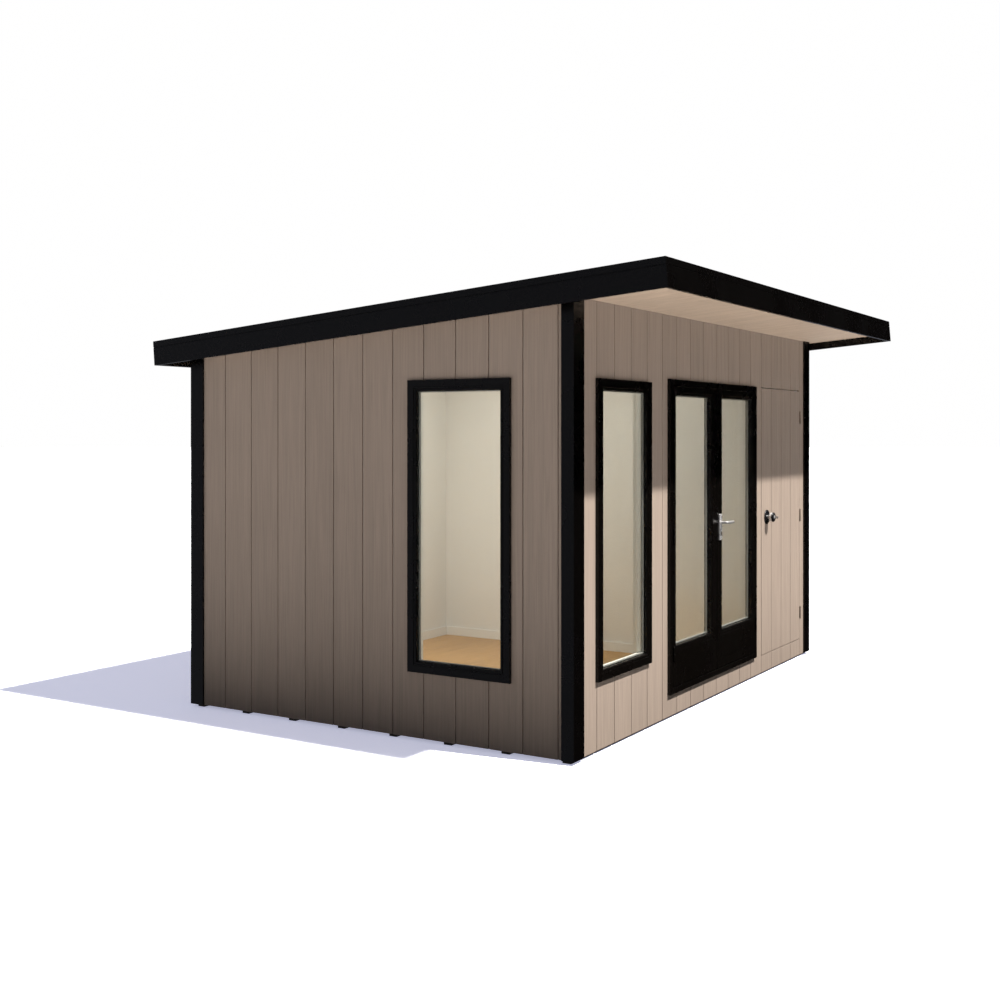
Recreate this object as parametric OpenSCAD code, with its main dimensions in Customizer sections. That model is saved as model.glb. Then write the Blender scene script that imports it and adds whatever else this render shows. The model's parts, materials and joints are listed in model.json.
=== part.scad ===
// Garden office pod: a timber-framed cabin with a single-slope roof, vertical
// board cladding, two fixed windows, glazed double doors and a store room
// behind a concealed door in the cladding.
//
// Millimetres. +Z is up, the front faces -Y and +X runs along the front.
// The origin lies on the ground, under the middle of the roof's plan.
// Inside the modules, X starts at the left cladding face and Y at the front one.

/* [Walls] */
// Width over the cladding, along the front
wall_w = 3766; // [3700:2:4800]
// Depth over the cladding, front to back
wall_d = 2624; // [2000:2:3400]
// Thickness of the cladding boards
clad_t = 20; // [16:1:28]
// Thickness of the insulated wall panels behind the cladding
panel_t = 80; // [60:1:110]
// Height of the cladding and corner trims above the ground
clad_z = 18; // [10:1:34]
// Thickness of the partition between the office and the store
partition_t = 63; // [45:1:100]

/* [Floor] */
// Number of bearers that run along the width
bearer_count = 8; // [4:1:12]
// Width of a bearer
bearer_w = 50; // [38:1:75]
// Height of a bearer
bearer_h = 50; // [38:1:100]
// Thickness of the structural floor deck
deck_t = 22; // [18:1:28]
// Thickness of the finished floors
floor_t = 18; // [12:1:22]
// Height of the skirting boards
skirting_h = 65; // [45:1:150]
// Thickness of the skirting boards
skirting_t = 15; // [9:1:18]

/* [Roof] */
// Height of the roof's front edge, the highest point
roof_h = 2500; // [2400:10:3000]
// Fall of the roof from front to back, in degrees
roof_pitch = 4.6; // [2:0.1:6]
// Overhang past the front cladding
roof_front = 573; // [200:1:900]
// Overhang past the back cladding
roof_back = 187; // [60:1:400]
// Overhang past each side cladding
roof_side = 153; // [60:1:400]
// Depth of the fascia boards
fascia_h = 148; // [120:1:220]
// Thickness of the fascia boards
fascia_t = 20; // [16:1:28]
// Rise of the fascia above the roof covering
fascia_lip = 12; // [4:1:20]
// Thickness of the roof covering
cover_t = 5; // [2:1:8]
// Thickness of the insulated roof panel
roof_panel_t = 67; // [40:1:120]
// Thickness of the soffit and ceiling boards
soffit_t = 12; // [9:1:18]

/* [Corner trims] */
// How far the corner trims stand proud of the cladding
trim_t = 12; // [6:1:25]
// Width of the front trims on the front face
trim_front_w = 114; // [60:1:140]
// Width of the front trims on the side faces
trim_side_w = 72; // [40:1:140]
// Width of the back trims on both faces
trim_back_w = 100; // [40:1:140]

/* [Windows] */
// Height of both windows' bottom edges above the ground
window_z = 376; // [200:2:900]
// Height of both windows
window_h = 1580; // [800:2:1600]
// Distance of the side window from the front cladding face
side_window_y = 359; // [120:1:900]
// Width of the side window
side_window_w = 649; // [400:1:900]
// Distance of the front window from the left cladding face
front_window_x = 250; // [120:1:300]
// Width of the front window
front_window_w = 662; // [400:1:830]
// Width of the window frame bars
window_bar = 60; // [40:1:80]
// Depth of the window frames, front to back
window_depth = 70; // [55:1:90]
// How far window and door frames stand proud of the cladding
frame_proud = 19; // [4:1:25]
// Thickness of the glazing units
glass_t = 20; // [14:1:24]
// Distance of the window glass behind the frame's face
window_recess = 22; // [10:1:34]

/* [Double doors] */
// Distance of the door frame from the left cladding face
door_x = 1166; // [1140:1:1170]
// Width over the door frame
door_w = 1446; // [1200:1:1460]
// Height of the door sills above the ground
door_z = 145; // [110:1:180]
// Height over the door frame
door_h = 1839; // [1700:1:1960]
// Width of the door frame bars
door_bar = 35; // [25:1:60]
// How far the rebates' stops reach past the bars
stop_w = 15; // [10:1:25]
// Thickness of the glazed door leaves
leaf_t = 50; // [44:1:60]
// Width of the stiles that carry the hinges
hinge_stile = 46; // [40:1:110]
// Width of the stiles that meet in the middle
lock_stile = 87; // [80:1:120]
// Width of the top rails
top_rail = 52; // [50:1:110]
// Height of the solid kick panels
kick_h = 238; // [120:1:500]
// Distance of the door glass behind the leaf's face
door_recess = 27; // [10:1:28]

/* [Store door] */
// Distance of the store door's free edge from the left cladding face
store_x = 2750; // [2745:1:2800]
// Width of the store door, over half of each side gap
store_w = 828; // [700:1:830]
// Height of the store doorway's bottom above the ground
store_z = 133; // [110:1:180]
// Thickness of the store door's backing panel
backing_t = 25; // [18:1:40]
// How far the store door's stops reach into the opening
store_stop = 25; // [15:1:40]

/* [Running gaps] */
// Gap round a closed leaf, at its top, bottom and hinge edge
leaf_gap = 5; // [4:0.5:8]
// Gap at the free edge of a leaf
free_gap = 8; // [7:0.5:12]
// Gap between a leaf's inside face and its stops
stop_gap = 5; // [3:0.5:8]
// Hairline seat between pieces that meet on a sloping face
seat = 0.1; // [0.05:0.05:0.3]
// Radial clearance of pins and spindles in their bores
pin_clear = 0.05; // [0.02:0.01:0.1]

/* [Hinges] */
// Hinges on each leaf
hinge_count = 3; // [2:1:4]
// Height of a hinge
hinge_h = 90; // [60:2:120]
// Radius of a hinge knuckle
knuckle_r = 7; // [5:0.5:8]
// Radius of a hinge pin
hinge_pin_r = 3; // [2:0.5:4]
// Thickness of a hinge plate
hinge_plate_t = 1.5; // [1:0.1:1.8]
// Depth of a hinge plate behind the leaf's face
hinge_plate_d = 34; // [20:1:38]
// Distance of the end hinges from the ends of the leaf
hinge_end = 150; // [80:5:300]

/* [Lever handle] */
// Height of the handle plates' middle above the ground
plate_z = 1075; // [950:1:1150]
// Height of a handle plate
plate_h = 166; // [140:1:240]
// Width of a handle plate
plate_w = 42; // [30:1:60]
// Thickness of a handle plate
plate_t = 8; // [5:1:12]
// Height of the lever above the plate's middle
lever_rise = 29; // [15:1:60]
// Length of the lever from its spindle
lever_len = 112; // [90:1:130]
// Half the height of the lever bar
lever_r = 9; // [7:0.5:11]
// Distance of the lever's axis from the door face
lever_out = 50; // [35:1:65]
// Radius of the lever's spindle
spindle_r = 8; // [6:0.5:9]
// Radius of the key cylinder below the lever
key_cyl_r = 8.5; // [6:0.5:10]

/* [Store lock] */
// Distance of the store knob from the store door's free edge
knob_x = 104; // [70:1:140]
// Height of the store knob above the ground
knob_z = 1085; // [950:1:1200]
// Radius of the round lock plate
rose_r = 50; // [40:1:60]
// Thickness of the round lock plate
rose_t = 10; // [5:1:14]
// Radius of the knob
knob_r = 33; // [25:1:38]
// Length of the knob
knob_len = 36; // [25:1:45]
// Radius of the knob's stem
knob_stem_r = 10; // [8:0.5:12]
// Length of the key bow in front of the knob
key_len = 28; // [20:1:40]

/* [Hidden] */
$fn = 48;
wall_t = clad_t + panel_t;
floor_z = bearer_h + deck_t;
room_z = floor_z + floor_t;

// Roof build-up, as depths below the roof's top plane
d_cover = fascia_lip;
d_panel = d_cover + cover_t;
d_soffit = d_panel + roof_panel_t;
d_wall = d_soffit + seat;
d_under = d_wall + soffit_t;
d_trim = d_under + seat;
roof_len = (wall_d + roof_front + roof_back) / cos(roof_pitch);
plan_mid = (wall_d + roof_back - roof_front - fascia_h * sin(roof_pitch)) / 2;

// Height at plan position y of the plane that lies depth below the roof's top
function under(y, depth) =
    roof_h - (y + roof_front) * tan(roof_pitch) - depth / cos(roof_pitch);

// Double doors
door_top = door_z + door_h;
door_mid = door_x + door_w / 2;
leaf_w = door_w / 2 - door_bar - leaf_gap - free_gap / 2;
leaf_z = door_z + door_bar + leaf_gap;
leaf_h = door_h - 2 * (door_bar + leaf_gap);
leaf_back = leaf_t - frame_proud;
handle_x = door_mid + free_gap / 2 + lock_stile / 2;
lever_z = plate_z + lever_rise;
key_z = plate_z - plate_h / 4;

// Store door
store_in0 = store_x - free_gap / 2;
store_in1 = store_x + store_w + leaf_gap / 2;
store_leaf_w = store_w - free_gap / 2 - leaf_gap / 2;
store_leaf_x = store_x + free_gap / 2;
store_leaf_z = store_z + leaf_gap;
store_leaf_h = door_top - store_z - 2 * leaf_gap;
store_back = clad_t + backing_t;
store_knob_x = store_leaf_x + knob_x;
inner_rose_r = 0.6 * rose_r;

// Hinges: the pivot stands in front of the leaf's face by this much
pivot_out = knuckle_r + 1;
knuckle_h = hinge_h / 2 - 1;

partition_x = door_x + door_w + 5;

clad_color = [0.55, 0.49, 0.43];
black_color = [0.08, 0.075, 0.07];
white_color = [0.86, 0.84, 0.78];
timber_color = [0.72, 0.60, 0.44];
oak_color = [0.73, 0.58, 0.38];
glass_color = [0.75, 0.80, 0.78, 0.35];
steel_color = [0.72, 0.72, 0.71];

// ---- helpers ----

// Moves the building's own corner coordinates to the part's origin
module place() {
    translate([-wall_w / 2, -plan_mid, 0]) children();
}

// Box from its low corner to its high corner
module block(low, high) {
    translate(low) cube(high - low);
}

// Upright block whose top is cut to the plane depth below the roof's top
module wall_block(x0, x1, y0, y1, z0, depth) {
    translate([x0, 0, 0])
        rotate([90, 0, 90])
            linear_extrude(x1 - x0)
                polygon([
                    [y0, z0], [y1, z0], [y1, under(y1, depth)], [y0, under(y0, depth)]
                ]);
}

// Slab in the roof's slope: s runs down the slope from the front edge
module roof_slab(x0, x1, s0, s1, d0, d1) {
    translate([0, -roof_front, roof_h])
        rotate([-roof_pitch, 0, 0])
            translate([x0, s0, -d1])
                cube([x1 - x0, s1 - s0, d1 - d0]);
}

// Moves a shape made for the front wall, at x from its own corner, to the left wall
module on_left_wall() {
    mirror([1, -1, 0]) children();
}

// Ring in the XZ plane with its face to the front
module ring(x0, x1, z0, z1, y0, y1, bar) {
    difference() {
        block([x0, y0, z0], [x1, y1, z1]);
        block([x0 + bar, y0 - 1, z0 + bar], [x1 - bar, y1 + 1, z1 - bar]);
    }
}

// Cylinder along Y between two planes
module rod_y(x, z, y0, y1, r) {
    translate([x, y1, z]) rotate([90, 0, 0]) cylinder(h = y1 - y0, r = r);
}

// ---- floor ----

module floor_bearers() {
    pitch = (wall_d - 2 * clad_t - bearer_w) / (bearer_count - 1);
    color(timber_color) place()
        for (i = [0 : bearer_count - 1])
            block([clad_t, clad_t + i * pitch, 0],
                  [wall_w - clad_t, clad_t + i * pitch + bearer_w, bearer_h]);
}

module floor_deck() {
    color(timber_color) place()
        block([clad_t, clad_t, bearer_h],
              [wall_w - clad_t, wall_d - clad_t, floor_z]);
}

module office_floor() {
    color(oak_color) place()
        block([wall_t, wall_t, floor_z],
              [partition_x, wall_d - wall_t, room_z]);
}

module store_floor() {
    color(timber_color) place()
        block([partition_x + partition_t, wall_t, floor_z],
              [wall_w - wall_t, wall_d - wall_t, room_z]);
}

// One run round the office, from the door frame round to the partition
module skirting() {
    top = room_z + skirting_h;
    far = wall_d - wall_t;
    color(white_color) place()
        union() {
            block([wall_t, wall_t, room_z], [door_x, wall_t + skirting_t, top]);
            block([wall_t, wall_t, room_z], [wall_t + skirting_t, far, top]);
            block([wall_t, far - skirting_t, room_z], [partition_x, far, top]);
            block([partition_x - skirting_t, wall_t + skirting_t, room_z],
                  [partition_x, far, top]);
        }
}

// ---- wall panels ----

module window_hole(x, w, y0, y1) {
    block([x, y0, window_z], [x + w, y1, window_z + window_h]);
}

module left_wall() {
    color(white_color) place()
        difference() {
            wall_block(clad_t, wall_t, clad_t, wall_d - clad_t, floor_z, d_wall);
            on_left_wall() window_hole(side_window_y, side_window_w, 0, wall_t + 1);
        }
}

module back_wall() {
    color(white_color) place()
        wall_block(wall_t, wall_w - wall_t, wall_d - wall_t, wall_d - clad_t,
                   floor_z, d_wall);
}

module right_wall() {
    color(white_color) place()
        wall_block(wall_w - wall_t, wall_w - clad_t, clad_t, wall_d - clad_t,
                   floor_z, d_wall);
}

module partition_wall() {
    color(white_color) place()
        wall_block(partition_x, partition_x + partition_t, wall_t, wall_d - wall_t,
                   floor_z, d_wall);
}

module front_wall_left() {
    color(white_color) place()
        difference() {
            wall_block(wall_t, door_x, clad_t, wall_t, floor_z, d_wall);
            window_hole(front_window_x, front_window_w, 0, wall_t + 1);
        }
}

module front_wall_sill() {
    color(white_color) place()
        union() {
            block([door_x, clad_t, floor_z], [store_in1, wall_t, min(door_z, store_z)]);
            block([door_x, clad_t, floor_z], [store_in0, wall_t, door_z]);
            block([store_in0, clad_t, floor_z], [store_in1, wall_t, store_z]);
        }
}

module front_wall_head() {
    color(white_color) place()
        wall_block(door_x, store_in1, clad_t, wall_t, door_top, d_wall);
}

module front_wall_middle() {
    color(white_color) place()
        block([door_x + door_w, clad_t, door_z], [store_in0, wall_t, door_top]);
}

module front_wall_right() {
    color(white_color) place()
        wall_block(store_in1, wall_w - wall_t, clad_t, wall_t, floor_z, d_wall);
}

// ---- cladding ----

module left_cladding() {
    color(clad_color) place()
        difference() {
            wall_block(0, clad_t, clad_t, wall_d - clad_t, clad_z, d_wall);
            on_left_wall() window_hole(side_window_y, side_window_w, -1, clad_t + 1);
        }
}

module right_cladding() {
    color(clad_color) place()
        wall_block(wall_w - clad_t, wall_w, clad_t, wall_d - clad_t, clad_z, d_wall);
}

module back_cladding() {
    color(clad_color) place()
        wall_block(0, wall_w, wall_d - clad_t, wall_d, clad_z, d_wall);
}

module front_cladding() {
    color(clad_color) place()
        difference() {
            wall_block(0, wall_w, 0, clad_t, clad_z, d_wall);
            window_hole(front_window_x, front_window_w, -1, clad_t + 1);
            block([door_x, -1, door_z], [door_x + door_w, clad_t + 1, door_top]);
            block([store_in0, -1, store_z], [store_in1, clad_t + 1, door_top]);
        }
}

// Two legs of a trim round the left corners; a front leg lies on Y, a side leg on X
module left_trim(y_face, out, face_w, side_w) {
    y_out = y_face + out * trim_t;
    union() {
        wall_block(-trim_t, face_w - trim_t, min(y_face, y_out), max(y_face, y_out),
                   clad_z, d_trim);
        wall_block(-trim_t, 0, min(y_out, y_out - out * side_w),
                   max(y_out, y_out - out * side_w), clad_z, d_trim);
    }
}

module right_side() {
    translate([wall_w, 0, 0]) mirror([1, 0, 0]) children();
}

module front_left_trim() {
    color(black_color) place() left_trim(0, -1, trim_front_w, trim_side_w);
}

module front_right_trim() {
    color(black_color) place() right_side() left_trim(0, -1, trim_front_w, trim_side_w);
}

module back_left_trim() {
    color(black_color) place() left_trim(wall_d, 1, trim_back_w, trim_back_w);
}

module back_right_trim() {
    color(black_color) place() right_side() left_trim(wall_d, 1, trim_back_w, trim_back_w);
}

// ---- roof ----

module roof_panel() {
    color(timber_color) place()
        roof_slab(fascia_t - roof_side, wall_w + roof_side - fascia_t,
                  fascia_t + seat, roof_len - fascia_t - seat, d_panel, d_soffit);
}

module roof_covering() {
    color([0.16, 0.16, 0.17]) place()
        roof_slab(fascia_t - roof_side, wall_w + roof_side - fascia_t,
                  fascia_t + seat, roof_len - fascia_t - seat,
                  d_cover, d_panel - seat);
}

// Sloping boards inside the walls, one field in each room
module ceiling() {
    color(white_color) place()
        for (x = [[wall_t, partition_x],
                  [partition_x + partition_t, wall_w - wall_t]])
            intersection() {
                block([x[0], wall_t, 0], [x[1], wall_d - wall_t, roof_h]);
                roof_slab(x[0] - 10, x[1] + 10, 0, roof_len, d_wall, d_under);
            }
}

// Boards under the overhang, round all four sides
module soffit() {
    color([0.72, 0.65, 0.56]) place()
        difference() {
            roof_slab(fascia_t - roof_side, wall_w + roof_side - fascia_t,
                      fascia_t + seat, roof_len - fascia_t - seat, d_wall, d_under);
            block([0, 0, 0], [wall_w, wall_d, roof_h]);
        }
}

module front_fascia() {
    color(black_color) place()
        roof_slab(-roof_side, wall_w + roof_side, 0, fascia_t, 0, fascia_h);
}

module back_fascia() {
    color(black_color) place()
        roof_slab(-roof_side, wall_w + roof_side, roof_len - fascia_t, roof_len,
                  0, fascia_h);
}

module left_fascia() {
    color(black_color) place()
        roof_slab(-roof_side, fascia_t - roof_side,
                  fascia_t + seat, roof_len - fascia_t - seat, 0, fascia_h);
}

module right_fascia() {
    color(black_color) place()
        roof_slab(wall_w + roof_side - fascia_t, wall_w + roof_side,
                  fascia_t + seat, roof_len - fascia_t - seat, 0, fascia_h);
}

// ---- windows ----

module window_frame(x, w) {
    ring(x, x + w, window_z, window_z + window_h,
         -frame_proud, window_depth - frame_proud, window_bar);
}

module window_glass(x, w) {
    block([x + window_bar, window_recess - frame_proud, window_z + window_bar],
          [x + w - window_bar, window_recess - frame_proud + glass_t,
           window_z + window_h - window_bar]);
}

module side_window_frame() {
    color(black_color) place() on_left_wall()
        window_frame(side_window_y, side_window_w);
}

module side_window_glass() {
    color(glass_color) place() on_left_wall()
        window_glass(side_window_y, side_window_w);
}

module front_window_frame() {
    color(black_color) place() window_frame(front_window_x, front_window_w);
}

module front_window_glass() {
    color(glass_color) place() window_glass(front_window_x, front_window_w);
}

// ---- hinges ----

function hinge_z(z0, h, i) =
    z0 + hinge_end + i * (h - 2 * hinge_end - hinge_h) / (hinge_count - 1);

// Half hinges stand at the middle of the gap; side is 1 where the leaf lies at +X
// of the pivot. The fixed half has the lower knuckle and the pin.
module fixed_hinge(x, face, side) {
    plate_x = x - side * leaf_gap / 2;
    low = min(plate_x, plate_x + side * hinge_plate_t);
    union() {
        translate([x, face - pivot_out, 0]) cylinder(h = knuckle_h, r = knuckle_r);
        translate([x, face - pivot_out, 0]) cylinder(h = hinge_h, r = hinge_pin_r);
        block([low, face, 0], [low + hinge_plate_t, face + hinge_plate_d, hinge_h]);
        block([low, face - pivot_out, 0], [low + hinge_plate_t, face + 1, knuckle_h]);
    }
}

// The moving half has the upper knuckle, bored for the pin
module leaf_hinge(x, face, side) {
    plate_x = x + side * leaf_gap / 2;
    low = min(plate_x, plate_x - side * hinge_plate_t);
    difference() {
        union() {
            translate([x, face - pivot_out, hinge_h - knuckle_h])
                cylinder(h = knuckle_h, r = knuckle_r);
            block([low, face, 0], [low + hinge_plate_t, face + hinge_plate_d, hinge_h]);
            block([low, face - pivot_out, hinge_h - knuckle_h],
                  [low + hinge_plate_t, face + 1, hinge_h]);
        }
        translate([x, face - pivot_out, -1])
            cylinder(h = hinge_h + 2, r = hinge_pin_r + pin_clear);
    }
}

left_pivot_x = door_x + door_bar + leaf_gap / 2;
right_pivot_x = door_x + door_w - door_bar - leaf_gap / 2;
store_pivot_x = store_x + store_w;

module fixed_hinges() {
    color(black_color) place()
        for (i = [0 : hinge_count - 1]) {
            translate([0, 0, hinge_z(leaf_z, leaf_h, i)]) {
                fixed_hinge(left_pivot_x, -frame_proud, 1);
                fixed_hinge(right_pivot_x, -frame_proud, -1);
            }
            translate([0, 0, hinge_z(store_leaf_z, store_leaf_h, i)])
                fixed_hinge(store_pivot_x, 0, -1);
        }
}

// ---- double doors ----

module door_frame() {
    color(black_color) place()
        ring(door_x, door_x + door_w, door_z, door_top, -frame_proud, wall_t, door_bar);
}

// Stops inside the frame, behind the leaves
module door_stops() {
    color(black_color) place()
        ring(door_x + door_bar, door_x + door_w - door_bar,
             door_z + door_bar, door_top - door_bar,
             leaf_back + stop_gap, wall_t, stop_w);
}

// Leaf with its free edge at x_free; side is 1 where the leaf lies at -X of it
module leaf_frame(x_free, side) {
    x0 = side > 0 ? x_free - leaf_w : x_free;
    g0 = side > 0 ? x0 + hinge_stile : x0 + lock_stile;
    g1 = side > 0 ? x0 + leaf_w - lock_stile : x0 + leaf_w - hinge_stile;
    difference() {
        block([x0, -frame_proud, leaf_z], [x0 + leaf_w, leaf_back, leaf_z + leaf_h]);
        block([g0, -frame_proud - 1, leaf_z + kick_h],
              [g1, leaf_back + 1, leaf_z + leaf_h - top_rail]);
    }
}

module leaf_glass(x_free, side) {
    x0 = side > 0 ? x_free - leaf_w + hinge_stile : x_free + lock_stile;
    w = leaf_w - hinge_stile - lock_stile;
    block([x0, door_recess - frame_proud, leaf_z + kick_h],
          [x0 + w, door_recess - frame_proud + glass_t, leaf_z + leaf_h - top_rail]);
}

module leaf_hinges(x, face, side, z0, h) {
    for (i = [0 : hinge_count - 1])
        translate([0, 0, hinge_z(z0, h, i)]) leaf_hinge(x, face, side);
}

module left_door() {
    color(black_color) place()
        union() {
            leaf_frame(door_mid - free_gap / 2, 1);
            leaf_hinges(left_pivot_x, -frame_proud, 1, leaf_z, leaf_h);
        }
}

module left_door_glass() {
    color(glass_color) place() leaf_glass(door_mid - free_gap / 2, 1);
}

// The right leaf opens first and carries the lock, so its stile is bored
module right_door() {
    color(black_color) place()
        difference() {
            union() {
                leaf_frame(door_mid + free_gap / 2, -1);
                leaf_hinges(right_pivot_x, -frame_proud, -1, leaf_z, leaf_h);
            }
            rod_y(handle_x, lever_z, -frame_proud - 1, leaf_back + 1, spindle_r + 4);
        }
}

module right_door_glass() {
    color(glass_color) place() leaf_glass(door_mid + free_gap / 2, -1);
}

// A plate on each face, with the key cylinder's end in it
module handle_plates() {
    color(steel_color) place()
        for (y = [[-frame_proud - plate_t, -frame_proud, -3, 0],
                  [leaf_back, leaf_back + plate_t, 0, 3]])
            difference() {
                union() {
                    block([handle_x - plate_w / 2, y[0], plate_z - plate_h / 2],
                          [handle_x + plate_w / 2, y[1], plate_z + plate_h / 2]);
                    rod_y(handle_x, key_z, y[0] + y[2], y[1] + y[3], key_cyl_r);
                }
                rod_y(handle_x, lever_z, y[0] - 1, y[1] + 1, spindle_r + pin_clear);
            }
}

// Both levers on one spindle, each a flat bar on a round hub
module door_lever() {
    y_out = -frame_proud - lever_out;
    y_in = leaf_back + lever_out;
    color(steel_color) place()
        union() {
            rod_y(handle_x, lever_z, y_out, y_in, spindle_r);
            for (y = [y_out, y_in]) {
                rod_y(handle_x, lever_z, y - lever_r, y + lever_r, lever_r + 3);
                block([handle_x, y - 0.7 * lever_r, lever_z - lever_r],
                      [handle_x + lever_len, y + 0.7 * lever_r, lever_z + lever_r]);
            }
        }
}

// ---- store door ----

// Stops behind the store door, fixed inside its opening
module store_door_frame() {
    color(timber_color) place()
        ring(store_in0, store_in1, store_z, door_top,
             store_back + stop_gap, wall_t, store_stop);
}

module store_door() {
    color(timber_color) place()
        difference() {
            union() {
                block([store_leaf_x, clad_t, store_leaf_z],
                      [store_leaf_x + store_leaf_w, store_back,
                       store_leaf_z + store_leaf_h]);
                leaf_hinges(store_pivot_x, 0, -1, store_leaf_z, store_leaf_h);
            }
            rod_y(store_knob_x, knob_z, -1, store_back + 1, knob_stem_r + 4);
        }
}

// Boards that carry the front cladding's joints across the door
module store_door_cladding() {
    color(clad_color) place()
        difference() {
            block([store_leaf_x, 0, store_leaf_z],
                  [store_leaf_x + store_leaf_w, clad_t, store_leaf_z + store_leaf_h]);
            rod_y(store_knob_x, knob_z, -1, clad_t + 1, knob_stem_r + 4);
        }
}

module store_lock_plates() {
    color(black_color) place()
        difference() {
            union() {
                rod_y(store_knob_x, knob_z, -rose_t, 0, rose_r);
                rod_y(store_knob_x, knob_z, store_back, store_back + rose_t, inner_rose_r);
            }
            rod_y(store_knob_x, knob_z, -rose_t - 1, store_back + rose_t + 1,
                  knob_stem_r + pin_clear);
        }
}

// Knob, stem, key and the inside turn, as one piece
module store_knob() {
    y_neck = -rose_t - 5;
    y_cap = y_neck - knob_len;
    y_in = store_back + rose_t + 5;
    color(steel_color) place()
        union() {
            rod_y(store_knob_x, knob_z, y_cap, y_in + 18, knob_stem_r);
            rod_y(store_knob_x, knob_z, y_cap, y_neck, knob_r);
            rod_y(store_knob_x, knob_z, y_cap - 6, y_cap, 0.85 * knob_r);
            rod_y(store_knob_x, knob_z, y_in, y_in + 18, 0.45 * rose_r);
            block([store_knob_x - 1, y_cap - 6 - key_len, knob_z - 11],
                  [store_knob_x + 1, y_cap - 5, knob_z + 11]);
        }
}

// ---- nodes ----

floor_bearers();
floor_deck();
office_floor();
store_floor();
skirting();
left_wall();
back_wall();
right_wall();
partition_wall();
front_wall_left();
front_wall_sill();
front_wall_head();
front_wall_middle();
front_wall_right();
left_cladding();
back_cladding();
right_cladding();
front_cladding();
front_left_trim();
front_right_trim();
back_left_trim();
back_right_trim();
roof_panel();
roof_covering();
ceiling();
soffit();
front_fascia();
back_fascia();
left_fascia();
right_fascia();
side_window_frame();
side_window_glass();
front_window_frame();
front_window_glass();
door_frame();
door_stops();
left_door();
left_door_glass();
right_door();
right_door_glass();
handle_plates();
door_lever();
store_door_frame();
store_door();
store_door_cladding();
store_lock_plates();
store_knob();
fixed_hinges();
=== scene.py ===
import json
import math

import bmesh
import bpy
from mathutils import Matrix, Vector


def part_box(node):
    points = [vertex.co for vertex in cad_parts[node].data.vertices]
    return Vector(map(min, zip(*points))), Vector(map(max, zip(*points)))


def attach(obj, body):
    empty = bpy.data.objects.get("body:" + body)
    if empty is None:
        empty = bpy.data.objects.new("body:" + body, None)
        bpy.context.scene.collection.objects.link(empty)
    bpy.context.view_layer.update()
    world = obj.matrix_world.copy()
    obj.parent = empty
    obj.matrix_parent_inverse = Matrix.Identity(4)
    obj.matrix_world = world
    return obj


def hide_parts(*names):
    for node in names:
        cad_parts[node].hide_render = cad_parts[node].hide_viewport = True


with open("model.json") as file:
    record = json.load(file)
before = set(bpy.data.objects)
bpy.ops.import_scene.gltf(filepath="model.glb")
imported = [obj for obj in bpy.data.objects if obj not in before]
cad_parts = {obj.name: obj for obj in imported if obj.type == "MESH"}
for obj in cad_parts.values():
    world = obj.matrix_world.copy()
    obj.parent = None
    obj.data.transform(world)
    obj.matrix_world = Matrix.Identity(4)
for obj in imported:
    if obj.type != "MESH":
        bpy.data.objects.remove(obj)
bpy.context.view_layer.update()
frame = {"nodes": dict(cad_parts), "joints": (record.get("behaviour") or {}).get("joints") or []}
NODES = frame["nodes"]
SCENE = bpy.context.scene

# ---------------------------------------------------------------- sizes, in metres
PITCH = math.radians(4.6)  # the roof's fall towards the back
SLOPE = math.tan(PITCH)
BOARD = 0.207  # cover of one cladding board
GAP = 0.0045  # joint between two boards
ROUND = 0.0022  # eased edge of a board
TONGUE = 0.009  # depth of the joint
SIDE_FIRST = 0.291  # first joint of the side fields, from the front face
FRONT_FIRST = 0.266  # first joint of the front field, from the left face
SHORTEST = 0.012  # no joint is nearer than this to the end of a field of boards
SOFFIT_BOARD = 0.138  # cover of one soffit board
FLOOR_BOARD = 0.190  # width of one floor board
PANE = 0.004  # one of the two panes of a double glazed unit
SPACER = 0.0065  # height of the bar between the panes
REBATE = 0.012  # how far a frame laps the edge of its glass
BEAD = 0.015  # width of a glazing bead
EASE = 0.0015  # eased edges of a window or door frame
SEAM = 0.0003  # shadow line between a frame and the white liner behind it
TINY = 1e-6


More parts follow.
